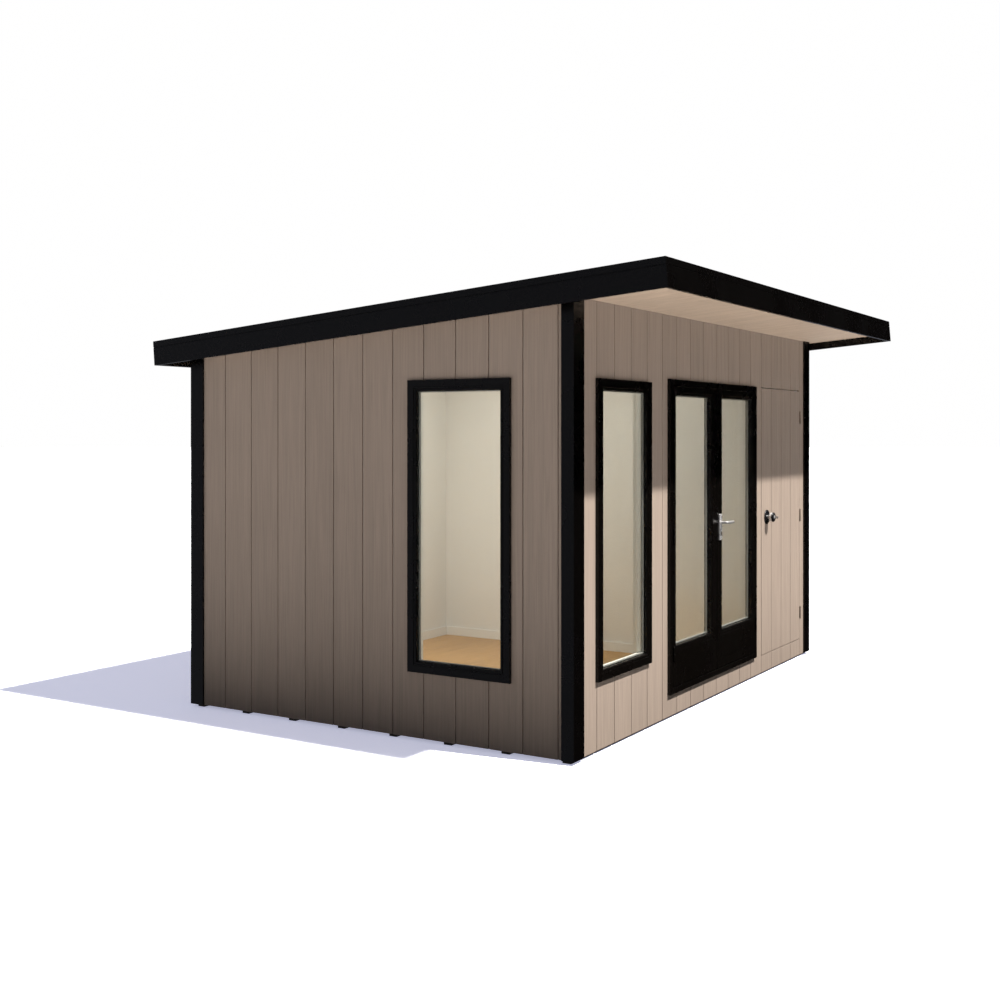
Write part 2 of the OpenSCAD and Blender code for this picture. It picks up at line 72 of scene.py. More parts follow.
# ---------------------------------------------------------------- materials
class Mat:
    """A node material with a few short helpers."""

    def __init__(self, name, **sockets):
        self.m = bpy.data.materials.new(name)
        self.m.use_nodes = True
        self.t = self.m.node_tree
        self.bsdf = self.t.nodes["Principled BSDF"]
        for key, value in sockets.items():
            self.bsdf.inputs[key.replace("_", " ")].default_value = value
        self._obj = None

    def node(self, kind, **settings):
        n = self.t.nodes.new("ShaderNode" + kind)
        for k, v in settings.items():
            setattr(n, k, v)
        return n

    def link(self, a, b):
        self.t.links.new(a, b)

    def coords(self):
        if self._obj is None:
            self._obj = self.node("TexCoord").outputs["Object"]
        return self._obj

    def scaled(self, sx, sy, sz):
        n = self.node("Mapping")
        n.inputs["Scale"].default_value = (sx, sy, sz)
        self.link(self.coords(), n.inputs["Vector"])
        return n.outputs["Vector"]

    def noise(self, vector, scale, detail=4.0, rough=0.55, distortion=0.0):
        n = self.node("TexNoise")
        self.link(vector, n.inputs["Vector"])
        n.inputs["Scale"].default_value = scale
        n.inputs["Detail"].default_value = detail
        n.inputs["Roughness"].default_value = rough
        n.inputs["Distortion"].default_value = distortion
        return n.outputs["Fac"]

    def ramp(self, fac, stops):
        n = self.node("ValToRGB")
        el = n.color_ramp.elements
        while len(el) > len(stops):
            el.remove(el[-1])
        while len(el) < len(stops):
            el.new(0.5)
        for e, (p, c) in zip(el, stops):
            e.position = p
            e.color = c if len(c) == 4 else (*c, 1)
        self.link(fac, n.inputs["Fac"])
        return n.outputs["Color"]

    def grey(self, fac, low, high, p0=0.0, p1=1.0):
        n = self.node("MapRange")
        n.inputs["From Min"].default_value = p0
        n.inputs["From Max"].default_value = p1
        n.inputs["To Min"].default_value = low
        n.inputs["To Max"].default_value = high
        self.link(fac, n.inputs["Value"])
        return n.outputs["Result"]

    def math(self, op, a, b=0.5):
        n = self.node("Math", operation=op)
        for i, x in enumerate((a, b)):
            if isinstance(x, (int, float)):
                n.inputs[i].default_value = x
            else:
                self.link(x, n.inputs[i])
        return n.outputs[0]

    def mix(self, fac, a, b):
        """Mixes two colours; the node's inputs 6 and 7 and its output 2 are the colour ones."""
        n = self.node("Mix", data_type="RGBA")
        for sock, x in ((n.inputs[0], fac), (n.inputs[6], a), (n.inputs[7], b)):
            if isinstance(x, (int, float)):
                sock.default_value = x
            elif isinstance(x, tuple):
                sock.default_value = x if len(x) == 4 else (*x, 1)
            else:
                self.link(x, sock)
        return n.outputs[2]

    def color(self, socket):
        self.link(socket, self.bsdf.inputs["Base Color"])

    def rough(self, socket):
        self.link(socket, self.bsdf.inputs["Roughness"])

    def bump(self, height, distance, strength, shader=None):
        n = self.node("Bump")
        n.inputs["Distance"].default_value = distance
        n.inputs["Strength"].default_value = strength
        self.link(height, n.inputs["Height"])
        self.link(n.outputs["Normal"], (self.bsdf if shader is None else shader).inputs["Normal"])

    def surface(self, shader):
        """Shows another shader in place of the principled one."""
        out = next(n for n in self.t.nodes if n.type == "OUTPUT_MATERIAL")
        self.link(shader, out.inputs["Surface"])
        self.t.nodes.remove(self.bsdf)


def shade(c, k):
    """The colour c, k times as light."""
    return tuple(min(1, x * k) for x in c[:3]) + (1,)


def board_tint(m, axis, first, pitch, seed):
    """A value of its own for each board along an axis of the object."""
    sep = m.node("SeparateXYZ")
    m.link(m.coords(), sep.inputs["Vector"])
    n = m.math("FLOOR", m.math("DIVIDE", m.math("SUBTRACT", sep.outputs[axis], first), pitch))
    w = m.node("TexWhiteNoise", noise_dimensions="1D")
    m.link(m.math("ADD", n, seed), w.inputs["W"])
    return w.outputs["Value"]


def grained_boards(name, base, grain_axis, across, first, pitch, seed, contrast=1.0):
    """Embossed taupe boards: fine grain along one axis, each board a little different."""
    m = Mat(name)
    m.bsdf.inputs["Specular IOR Level"].default_value = 0.18
    stretch = [95.0, 95.0, 95.0]
    stretch["XYZ".index(grain_axis)] = 2.4
    fine = m.noise(m.scaled(*stretch), 1.0, 6, 0.62, 0.35)
    stretch = [22.0, 22.0, 22.0]
    stretch["XYZ".index(grain_axis)] = 0.7
    broad = m.noise(m.scaled(*stretch), 1.0, 3, 0.5, 0.6)
    cloud = m.noise(m.coords(), 1.7, 2, 0.5)
    tint = board_tint(m, across, first, pitch, seed)
    dark, light = shade(base, 1 - 0.16 * contrast), shade(base, 1 + 0.11 * contrast)
    col = m.ramp(fine, [(0.30, dark), (0.52, base), (0.75, light)])
    col = m.mix(m.grey(broad, 0.0, 0.55 * contrast, 0.42, 0.72), col, shade(base, 0.86))
    col = m.mix(0.16, col, m.ramp(tint, [(0, shade(base, 0.80)), (1, shade(base, 1.20))]))
    col = m.mix(m.grey(cloud, 0.0, 0.20, 0.4, 0.7), col, shade(base, 1.12))
    m.color(col)
    m.rough(m.grey(fine, 0.70, 0.54, 0.3, 0.7))
    m.bump(m.math("ADD", m.math("MULTIPLY", fine, 0.7), m.math("MULTIPLY", broad, 0.5)), 0.0012, 0.45)
    return m.m


CLAD = (0.238, 0.187, 0.149, 1)
# the soffit boards are the cladding's boards made about twice as light: painted light standing in for the
# light that bounces up from the ground
SOFFIT_PAINTED_LIGHT = (0.52, 0.405, 0.305, 1)


def satin_paint(name, base, rough, spec, coat=0.0, grain=420.0):
    """Satin paint or powder coat: orange-peel bump, faint dust and rubbed patches."""
    m = Mat(name, Roughness=rough)
    m.bsdf.inputs["Specular IOR Level"].default_value = spec
    m.bsdf.inputs["Coat Weight"].default_value = coat
    m.bsdf.inputs["Coat Roughness"].default_value = 0.25
    peel = m.noise(m.coords(), grain, 2, 0.5)
    dust = m.noise(m.coords(), 3.1, 5, 0.6)
    streak = m.noise(m.scaled(9, 9, 1.1), 1.0, 4, 0.6)
    col = m.mix(m.grey(dust, 0.0, 0.5, 0.45, 0.75), base, shade(base, 1.25))
    col = m.mix(m.grey(streak, 0.0, 0.2, 0.5, 0.8), col, shade(base, 0.6))
    m.color(col)
    m.rough(m.grey(dust, rough - 0.03, rough + 0.05, 0.35, 0.7))
    m.bump(peel, 0.00004, 0.2)
    return m.m


def painted(name, base, rough=0.5, brush=(60, 60, 4)):
    """White paint: brush or roller texture and slow tone changes."""
    m = Mat(name, Roughness=rough)
    lay = m.noise(m.scaled(*brush), 1.0, 4, 0.6)
    tone = m.noise(m.coords(), 1.3, 3, 0.5)
    col = m.mix(m.grey(tone, 0.0, 0.6, 0.35, 0.7), base, shade(base, 0.955))
    col = m.mix(m.grey(lay, 0.0, 0.25, 0.45, 0.75), col, shade(base, 0.93))
    m.color(col)
    m.rough(m.grey(lay, rough - 0.05, rough + 0.07, 0.3, 0.7))
    m.bump(lay, 0.0003, 0.5)
    return m.m


def timber(name, base, axis, scale=1.0, rough=0.7):
    """Sawn softwood or board: growth rings and darker fine fibres."""
    m = Mat(name, Roughness=rough)
    stretch = [30.0 * scale] * 3
    stretch["XYZ".index(axis)] = 1.3 * scale
    rings = m.noise(m.scaled(*stretch), 1.0, 5, 0.6, 1.2)
    stretch = [220.0 * scale] * 3
    stretch["XYZ".index(axis)] = 6.0 * scale
    fibre = m.noise(m.scaled(*stretch), 1.0, 3, 0.6)
    col = m.ramp(rings, [(0.25, shade(base, 0.70)), (0.5, base), (0.72, shade(base, 1.18))])
    col = m.mix(m.grey(fibre, 0.0, 0.35, 0.45, 0.75), col, shade(base, 0.72))
    m.color(col)
    m.rough(m.grey(fibre, rough - 0.08, rough + 0.08, 0.3, 0.7))
    m.bump(m.math("ADD", m.math("MULTIPLY", rings, 0.5), fibre), 0.0006, 0.5)
    return m.m


def oak(name):
    """Oiled oak boards: rings and fibres along X, each row a little different."""
    m = Mat(name, Roughness=0.42)
    base = (0.56, 0.33, 0.125, 1)
    rings = m.noise(m.scaled(2.0, 34, 34), 1.0, 5, 0.6, 1.6)
    fibre = m.noise(m.scaled(9, 260, 260), 1.0, 3, 0.6)
    tint = board_tint(m, "Y", 0.0, FLOOR_BOARD, 7.0)
    col = m.ramp(rings, [(0.25, shade(base, 0.76)), (0.5, base), (0.75, shade(base, 1.16))])
    col = m.mix(m.grey(fibre, 0.0, 0.3, 0.5, 0.8), col, shade(base, 0.68))
    col = m.mix(0.25, col, m.ramp(tint, [(0, shade(base, 0.8)), (1, shade(base, 1.2))]))
    m.color(col)
    m.rough(m.grey(fibre, 0.36, 0.5, 0.3, 0.7))
    m.bump(m.math("ADD", rings, fibre), 0.0004, 0.4)
    return m.m


def membrane(name):
    """Dark roof sheet: fine grit and dried pools of rain water."""
    m = Mat(name, Roughness=0.75)
    base = (0.035, 0.036, 0.040, 1)
    fine = m.noise(m.coords(), 160, 4, 0.6)
    pool = m.noise(m.coords(), 1.6, 4, 0.55)
    col = m.ramp(pool, [(0.3, shade(base, 0.8)), (0.6, base), (0.8, shade(base, 1.9))])
    m.color(m.mix(m.grey(fine, 0.0, 0.4, 0.45, 0.8), col, shade(base, 1.4)))
    m.rough(m.grey(pool, 0.66, 0.86, 0.3, 0.7))
    m.bump(fine, 0.0008, 0.5)
    return m.m


def metal(name, base, rough):
    """Satin chrome under lacquer: fine upright brush lines, finger marks."""
    m = Mat(name, Metallic=0.72, Roughness=rough, Anisotropic=0.35)
    brush = m.noise(m.scaled(900, 900, 22), 1.0, 3, 0.6)
    marks = m.noise(m.coords(), 38, 4, 0.6)
    m.color(m.mix(m.grey(brush, 0.0, 0.5, 0.4, 0.7), base, shade(base, 0.84)))
    m.rough(m.grey(marks, rough - 0.05, rough + 0.12, 0.35, 0.7))
    m.bump(brush, 0.00005, 0.5)
    return m.m


def rubber(name):
    """Black gasket rubber with a dusty grain."""
    m = Mat(name, Roughness=0.6)
    base = (0.012, 0.012, 0.013, 1)
    n = m.noise(m.coords(), 300, 3, 0.6)
    m.color(m.mix(m.grey(n, 0.0, 0.5, 0.4, 0.7), base, shade(base, 1.8)))
    m.rough(m.grey(n, 0.5, 0.72, 0.3, 0.7))
    m.bump(n, 0.0001, 0.5)
    return m.m


def pane_glass(name, tint):
    """Thin float glass: light and lamps pass, with a mirror that grows edge on and faint smears."""
    m = Mat(name)
    see, gloss = m.node("BsdfTransparent"), m.node("BsdfGlossy")
    see.inputs["Color"].default_value = tint
    gloss.inputs["Color"].default_value = (1, 1, 1, 1)
    smear = m.noise(m.coords(), 2.2, 2.0, 0.5)
    m.link(m.grey(smear, 0.004, 0.035, 0.4, 0.75), gloss.inputs["Roughness"])
    m.bump(smear, 0.0006, 0.2, gloss)
    edge_on = m.node("LayerWeight")
    edge_on.inputs["Blend"].default_value = 0.5
    mirror = m.grey(m.math("POWER", edge_on.outputs["Facing"], 5.0), 0.035, 1.0)
    mix = m.node("MixShader")
    for socket, source in zip(mix.inputs, (mirror, see.outputs[0], gloss.outputs[0])):
        m.link(source, socket)
    m.surface(mix.outputs[0])
    return m.m


# the boards' own values step where the joints are, three boards before the first joint that shows
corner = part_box("front_cladding")[0]
SIDE_STEP = corner.y + SIDE_FIRST - BOARD * 3
FRONT_STEP = corner.x + FRONT_FIRST - BOARD * 3
M = {
    "clad_side": grained_boards("cladding_side", CLAD, "Z", "Y", SIDE_STEP, BOARD, 3.0),
    "clad_front": grained_boards("cladding_front", CLAD, "Z", "X", FRONT_STEP, BOARD, 11.0),
    # soffit boards on the lighter base, with painted light from below
    "soffit": grained_boards("soffit_boards", SOFFIT_PAINTED_LIGHT, "Y", "X", corner.x, SOFFIT_BOARD, 5.0, 1.5),
    "trim": satin_paint("black_trim", (0.0012, 0.0009, 0.0008, 1), 0.27, 0.27),
    "frame": satin_paint("black_frame", (0.0020, 0.0015, 0.0012, 1), 0.27, 0.25, 0.0, 260.0),
    "lock": satin_paint("black_lock", (0.006, 0.006, 0.007, 1), 0.25, 0.25, 0.1, 500.0),
    "hinge_taupe": satin_paint("hinge_paint", shade(CLAD, 0.95), 0.5, 0.2),
    "lining": painted("lining_paint", (0.80, 0.787, 0.757, 1), 0.55, (3, 3, 40)),
    "white": painted("white_paint", (0.84, 0.83, 0.80, 1), 0.38, (4, 40, 40)),
    "timber": timber("sawn_timber", (0.50, 0.36, 0.21, 1), "X"),
    # nearly black timber for the floor bearers
    "treated": timber("treated_timber", (0.040, 0.032, 0.026, 1), "X", 1.0, 0.8),
    "board": timber("deck_board", (0.50, 0.37, 0.23, 1), "Y", 0.6),
    "oak": oak("oak_floor"),
    "roof": membrane("roof_membrane"),
    "steel": metal("satin_chrome", (0.63, 0.62, 0.61, 1), 0.24),
    # the lever's chrome is the satin chrome made rougher and darker: the roughness is real, the darker base
    # is painted shade that dims its sunlit highlight
    "lever_steel": metal("dull_chrome", (0.50, 0.49, 0.48, 1), 0.34),
    "spacer": painted("spacer_bar", (0.20, 0.195, 0.18, 1), 0.45),
    "rubber": rubber("gasket_rubber"),
    "glass": pane_glass("glazing", (0.975, 0.982, 0.970, 1)),
}


# ---------------------------------------------------------------- mesh making
class Shape:
    """Collects faces; points at the same place become one vertex."""

    def __init__(self):
        self.key, self.verts, self.faces = {}, [], []

    def v(self, p):
        k = tuple(round(c, 6) for c in p)
        if k not in self.key:
            self.key[k] = len(self.verts)
            self.verts.append(tuple(p))
        return self.key[k]

    def face(self, pts):
        ids = []
        for p in pts:
            i = self.v(p)
            if not ids or ids[-1] != i:
                ids.append(i)
        if len(ids) > 1 and ids[0] == ids[-1]:
            ids.pop()
        if len(ids) > 2:
            self.faces.append(ids)

    def fresh(self):
        """Points after this don't join the ones before."""
        self.key = {}

    def obj(self, name, material, smooth=None):
        mesh = bpy.data.meshes.new(name)
        mesh.from_pydata(self.verts, [], self.faces)
        o = bpy.data.objects.new(name, mesh)
        SCENE.collection.objects.link(o)
        fix_normals(mesh)
        mesh.materials.append(M[material])
        if smooth:
            mesh.polygons.foreach_set("use_smooth", [True] * len(mesh.polygons))
            mesh.set_sharp_from_angle(angle=math.radians(smooth))
        return o


def fix_normals(mesh):
    bm = bmesh.new()
    bm.from_mesh(mesh)
    bmesh.ops.recalc_face_normals(bm, faces=bm.faces)
    bm.to_mesh(mesh)
    bm.free()


def stand(o, body, *nodes, slot):
    """Rides the piece on its body and lets it stand for CAD nodes."""
    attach(o, body)
    if nodes:
        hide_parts(*nodes)


def strip(shape, put, chain, cuts, holes, low, high, back):
    """One board: chain is its front section as (u, depth), cuts are extra u stations,
    holes are (u0, u1, v0, v1); low(u) and high(u) are its ends; put(u, v, depth) places it."""
    shape.fresh()
    pts = list(chain)
    for c in sorted(cuts):
        for i in range(len(pts) - 1):
            (ua, da), (ub, db) = pts[i], pts[i + 1]
            if ua + TINY < c < ub - TINY:
                pts.insert(i + 1, (c, da + (db - da) * (c - ua) / (ub - ua)))
                break
    us = [p[0] for p in pts]
    vs = sorted({v for h in holes if h[0] < us[-1] - TINY and h[1] > us[0] + TINY for v in h[2:]})
    n, rows = len(pts) - 1, len(vs) + 1

    def at(i, r, back_side=False):
        u, d = pts[i]
        v = low(u) if r == 0 else high(u) if r == rows else vs[r - 1]
        return put(u, v, back if back_side else d)

    def solid(i, r):
        if not (0 <= i < n and 0 <= r < rows):
            return False
        um = (us[i] + us[i + 1]) / 2
        v0 = vs[r - 1] if r else low(um)
        v1 = vs[r] if r < len(vs) else high(um)
        vm = (v0 + v1) / 2
        return not any(a < um < b and c < vm < d for a, b, c, d in holes)

    for r in range(rows):
        for i in range(n):
            if not solid(i, r):
                continue
            shape.face([at(i, r), at(i + 1, r), at(i + 1, r + 1), at(i, r + 1)])
            if us[i + 1] - us[i] > TINY:
                shape.face([at(i, r, 1), at(i + 1, r, 1), at(i + 1, r + 1, 1), at(i, r + 1, 1)])
            if not solid(i - 1, r):
                shape.face([at(i, r), at(i, r + 1), at(i, r + 1, 1), at(i, r, 1)])
            if not solid(i + 1, r):
                shape.face([at(i + 1, r), at(i + 1, r + 1), at(i + 1, r + 1, 1), at(i + 1, r, 1)])
    for r in range(rows + 1):
        i = 0
        while i < n:
            if solid(i, r) == solid(i, r - 1):
                i += 1
                continue
            j = i
            while j + 1 < n and solid(j + 1, r) != solid(j + 1, r - 1) and solid(j + 1, r) == solid(i, r):
                j += 1
            shape.face([at(k, r) for k in range(i, j + 2)] + [at(k, r, 1) for k in range(j + 1, i - 1, -1)])
            i = j + 1


def board_field(put, u0, u1, first, pitch, holes, low, high, thick, gap=GAP, ease_r=ROUND, depth=TONGUE):
    """Boards side by side from u0 to u1, with joints at first + i * pitch."""
    s = Shape()
    joints = []
    j = first - pitch * math.floor((first - u0) / pitch)
    while j < u1 - SHORTEST:
        if j > u0 + SHORTEST:
            joints.append(j)
        j += pitch
    starts = [u0] + [x + gap / 2 for x in joints]
    ends = [x - gap / 2 for x in joints] + [u1]
    for k, (a, b) in enumerate(zip(starts, ends)):
        left = [(a, ease_r), (a + ease_r * 0.3, ease_r * 0.3), (a + ease_r, 0)] if k else [(a, 0)]
        right = [(b, 0)]
        if k < len(ends) - 1:
            right = [(b - ease_r, 0), (b - ease_r * 0.3, ease_r * 0.3), (b, ease_r)]
            right += [(b, depth), (b + gap, depth)]
        cuts = [u for h in holes for u in h[:2]]
        strip(s, put, left + right, cuts, holes, low, high, thick)
    return s


def ring(shape, put, outer, inner, chain):
    """A mitred frame: outer and inner are (u0, u1, v0, v1); chain is its closed section as
    ("o" or "i", distance in from the outer edge or out from the inner one, depth)."""
    shape.fresh()

    def corners(ref, a, d):
        if ref == "o":
            u0, u1, v0, v1 = outer[0] + a, outer[1] - a, outer[2] + a, outer[3] - a
        else:
            u0, u1, v0, v1 = inner[0] - a, inner[1] + a, inner[2] - a, inner[3] + a
        return [put(u0, v0, d), put(u1, v0, d), put(u1, v1, d), put(u0, v1, d)]

    loops = [corners(*c) for c in chain]
    for a, b in zip(loops, loops[1:] + loops[:1]):
        for k in range(4):
            shape.face([a[k], a[(k + 1) % 4], b[(k + 1) % 4], b[k]])


def slab(shape, put, u0, u1, v0, v1, d0, d1, e=0.0):
    """A box whose edges are eased on the d0 side."""
    shape.fresh()
    if e:
        front = [(u0 + e, v0 + e), (u1 - e, v0 + e), (u1 - e, v1 - e), (u0 + e, v1 - e)]
    mid = [(u0, v0), (u1, v0), (u1, v1), (u0, v1)]
    s = 1 if d1 > d0 else -1
    levels = ([(front, d0)] if e else []) + [(mid, d0 + s * e), (mid, d1)]
    for (pa, da), (pb, db) in zip(levels, levels[1:]):
        for k in range(4):
            q = (k + 1) % 4
            shape.face([put(*pa[k], da), put(*pa[q], da), put(*pb[q], db), put(*pb[k], db)])
    for pts, d in (levels[0], levels[-1]):
        shape.face([put(*p, d) for p in pts])


def lathe(shape, centre, profile, steps=40, axis="Y"):
    """Turns (distance along the axis, radius) round the axis through centre."""
    shape.fresh()
    c = Vector(centre)

    def at(t, r, k):
        a = 2 * math.pi * k / steps
        x, y = r * math.cos(a), r * math.sin(a)
        return c + (Vector((x, t, y)) if axis == "Y" else Vector((x, y, t)))

    for (t0, r0), (t1, r1) in zip(profile, profile[1:]):
        for k in range(steps):
            shape.face([at(t0, r0, k), at(t0, r0, k + 1), at(t1, r1, k + 1), at(t1, r1, k)])
    for t, r in (profile[0], profile[-1]):
        if r > TINY:
            shape.face([at(t, r, k) for k in range(steps)])


def sweep(shape, path, widths, steps=16):
    """A tube with an oval section (half width, half height) along a path in X and Y."""
    shape.fresh()
    loops = []
    for i, (p, (w, h)) in enumerate(zip(path, widths)):
        a, b = path[max(i - 1, 0)], path[min(i + 1, len(path) - 1)]
        t = Vector((b[0] - a[0], b[1] - a[1], 0)).normalized()
        side = Vector((-t.y, t.x, 0))
        loops.append([Vector(p) + side * w * math.cos(q) + Vector((0, 0, h * math.sin(q)))
                      for q in (2 * math.pi * k / steps for k in range(steps))])
    for a, b in zip(loops, loops[1:]):
        for k in range(steps):
            q = (k + 1) % steps
            shape.face([a[k], a[q], b[q], b[k]])
    shape.face(loops[0])
    shape.face(loops[-1])


# ---------------------------------------------------------------- the walls' own axes
front_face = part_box("front_cladding")[0].y
back_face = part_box("back_cladding")[1].y
left_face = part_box("left_cladding")[0].x
right_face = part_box("right_cladding")[1].x
WALL_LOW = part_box("front_cladding")[0].z
WALL_TOP_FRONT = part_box("front_cladding")[1].z
CLAD_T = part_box("left_cladding")[1].x - left_face


def on_front(u, v, d):
    """A place on the front wall: u along it, v above the ground, d into the wall from the boards' face."""
    return (u, front_face + d, v)


def on_back(u, v, d):
    return (u, back_face - d, v)


def on_left(u, v, d):
    return (left_face + d, u, v)


def on_right(u, v, d):
    return (right_face - d, u, v)


def wall_low(u):
    return WALL_LOW


def wall_top(y):
    return WALL_TOP_FRONT - (y - front_face) * SLOPE


def rect(node, across="x"):
    """A node's outline on its wall, as (u0, u1, v0, v1)."""
    lo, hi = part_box(node)
    return (getattr(lo, across), getattr(hi, across), lo.z, hi.z)


def grown(box, d):
    """An outline moved outwards by d."""
    return (box[0] - d, box[1] + d, box[2] - d, box[3] + d)


# ---------------------------------------------------------------- cladding
window_f = rect("front_window_frame")
window_s = rect("side_window_frame", "y")
doors = rect("door_frame")
store_leaf = rect("store_door_cladding")
store_frame = rect("store_door_frame")

s = board_field(on_front, left_face, right_face, left_face + FRONT_FIRST, BOARD,
                [window_f, doors, store_frame], wall_low, lambda u: wall_top(front_face), CLAD_T)
stand(s.obj("front_cladding_boards", "clad_front"), "cabin", "front_cladding", slot="cladding")

s = board_field(on_back, left_face, right_face, left_face + FRONT_FIRST, BOARD,
                [], wall_low, lambda u: wall_top(back_face), CLAD_T)
stand(s.obj("back_cladding_boards", "clad_front"), "cabin", "back_cladding", slot="cladding")

lo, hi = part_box("left_cladding")
s = board_field(on_left, lo.y, hi.y, front_face + SIDE_FIRST, BOARD, [window_s], wall_low, wall_top, CLAD_T)
stand(s.obj("left_cladding_boards", "clad_side"), "cabin", "left_cladding", slot="cladding")
s = board_field(on_right, lo.y, hi.y, front_face + SIDE_FIRST, BOARD, [], wall_low, wall_top, CLAD_T)
stand(s.obj("right_cladding_boards", "clad_side"), "cabin", "right_cladding", slot="cladding")

u0, u1, v0, v1 = store_leaf
s = board_field(on_front, u0, u1, left_face + FRONT_FIRST, BOARD, [], lambda u: v0, lambda u: v1, CLAD_T)
stand(s.obj("store_door_boards", "clad_front"), "store_leaf", "store_door_cladding", slot="cladding")

# ---------------------------------------------------------------- window and door frames


def bead_section(face, g0, g1, e):
    """The part of a frame's section that holds the glass: a proud bead, the edge by the glass, the rebate."""
    return [("i", BEAD + 0.004, face), ("i", BEAD + 0.003, face + e), ("i", BEAD + 0.003, face + 0.005),
            ("i", BEAD, face + 0.005), ("i", BEAD, face + e), ("i", BEAD - e, face + 0.0005),
            ("i", 0.003, face + 0.0025), ("i", 0.0, face + 0.0065), ("i", 0.0, g0 - 0.001), ("i", -0.002, g0),
            ("i", REBATE, g0), ("i", REBATE, g1)]


def glazing(name, put, inner, g0, g1, body, glass_node):
    """A double glazed unit: two panes and the spacer bar round the gap between them."""
    s = Shape()
    for a, b in ((g0, g0 + PANE), (g1 - PANE, g1)):
        slab(s, put, *inner, a, b)
    stand(s.obj(name + "_panes", "glass"), body, glass_node, slot="glazing")
    s = Shape()
    r = 0.001
    ring(s, put, inner, grown(inner, -SPACER), [
        ("o", 0, g0 + PANE), ("i", r, g0 + PANE), ("i", 0, g0 + PANE + r), ("i", 0, g1 - PANE - r),
        ("i", r, g1 - PANE), ("o", 0, g1 - PANE)])
    stand(s.obj(name + "_spacer_bar", "spacer"), body, slot="satin_steel")


def window(name, put, across, into, wall):
    """A fixed window: frame with its bead, a white liner that clamps the glass from inside, and glazing."""
    node, glass_node = name + "_frame", name + "_glass"
    rim, inner = rect(node, across), rect(glass_node, across)
    face, back = (getattr(p, into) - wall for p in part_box(node))
    g0, g1 = (getattr(p, into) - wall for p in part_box(glass_node))
    s = Shape()
    ring(s, put, rim, inner, [("o", 0, g1 - EASE), ("o", 0, face + EASE), ("o", EASE, face)] +
         bead_section(face, g0, g1, EASE) + [("o", EASE, g1)])
    stand(s.obj(name + "_frame_profile", "frame"), "cabin", node, slot="black_frame")
    s = Shape()
    seam = g1 + SEAM
    ring(s, put, rim, inner, [
        ("o", EASE, back), ("o", EASE, seam), ("i", REBATE, seam), ("i", -0.002, seam),
        ("i", 0.0, g1 + 0.0015), ("i", 0.0, back - 0.004), ("i", 0.004, back)])
    stand(s.obj(name + "_liner", "white"), "cabin", slot="white_paint")
    glazing(name, put, inner, g0, g1, "cabin", glass_node)


window("front_window", on_front, "x", "y", front_face)
window("side_window", on_left, "y", "x", left_face)

# door frame with its stops, and a white liner behind it
STOP_W, STOP_T = 0.015, 0.006
clear = grown(rect("door_stops"), -STOP_W)
f0, f2 = (p.y - front_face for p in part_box("door_frame"))
f1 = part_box("door_stops")[0].y - front_face
s = Shape()
ring(s, on_front, doors, clear, [
    ("o", 0, f0 + EASE), ("o", EASE, f0), ("i", STOP_W + EASE, f0), ("i", STOP_W, f0 + EASE),
    ("i", STOP_W, f1 + 0.003), ("i", STOP_W - 0.002, f1), ("i", EASE, f1), ("i", 0, f1 + EASE),
    ("i", 0, f1 + STOP_T), ("o", 0, f1 + STOP_T)])
stand(s.obj("door_frame_profile", "frame"), "cabin", "door_frame", "door_stops", slot="black_frame")
s = Shape()
seam = f1 + STOP_T + SEAM
ring(s, on_front, doors, clear, [
    ("o", 0, f2 - EASE), ("o", 0, seam), ("i", 0, seam), ("i", 0, f2 - 0.004), ("i", 0.004, f2),
    ("o", EASE, f2)])
stand(s.obj("door_frame_liner", "white"), "cabin", slot="white_paint")

# a rubber weather seal stands on the stops' face
s = Shape()
ring(s, on_front, grown(clear, 0.012), grown(clear, 0.006), [
    ("o", 0, f1 + 0.0005), ("o", 0.001, f1 - 0.0028), ("o", 0.003, f1 - 0.0036), ("i", 0.001, f1 - 0.0028),
    ("i", 0, f1 + 0.0005)])
stand(s.obj("door_weather_seal", "rubber"), "cabin", slot="black_frame")

# store door stops
STORE_STOP = 0.025
a0, a1 = (p.y - front_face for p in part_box("store_door_frame"))
s = Shape()
ring(s, on_front, store_frame, grown(store_frame, -STORE_STOP), [
    ("o", 0, a1), ("o", 0, a0), ("i", 0.002, a0), ("i", 0, a0 + 0.002), ("i", 0, a1 - 0.002),
    ("i", 0.002, a1)])
stand(s.obj("store_door_stops", "timber"), "cabin", "store_door_frame", slot="timber")

# ---------------------------------------------------------------- door leaves and hinges
HINGES = 3
HINGE_H, HINGE_END = 0.090, 0.150  # length of a hinge, and its distance from the end of the leaf
KNUCKLE, STORE_KNUCKLE, PIN = 0.005, 0.0038, 0.0024  # radii: double doors, store door, and the pin in both
PLATE, PLATE_D = 0.0015, 0.034  # a hinge plate's thickness, and its depth along the leaf's edge
LEAF_GAP = 0.005  # between a leaf and its frame, with the pivot in the middle
LEAF_EASE = 0.0018  # eased edges of a leaf
KICK_RIM = 0.062  # from the leaf's edges to the kick panel
KICK_TOP = 0.034  # from the kick panel to the glass


def joint_pos(name):
    return next(j["pos_m"] for j in frame["joints"] if j["name"] == name)


def hinge_zs(z0, z1):
    return [z0 + HINGE_END + i * (z1 - z0 - 2 * HINGE_END - HINGE_H) / (HINGES - 1) for i in range(HINGES)]


def knuckle(s, x, y, z0, z1, r):
    c = 0.0008
    lathe(s, (x, y, 0), [(z0, r - c), (z0 + c, r), (z1 - c, r), (z1, r - c)], 28, "Z")


def upright(u, v, d):
    """A place by its X, its height and its Y."""
    return (u, d, v)


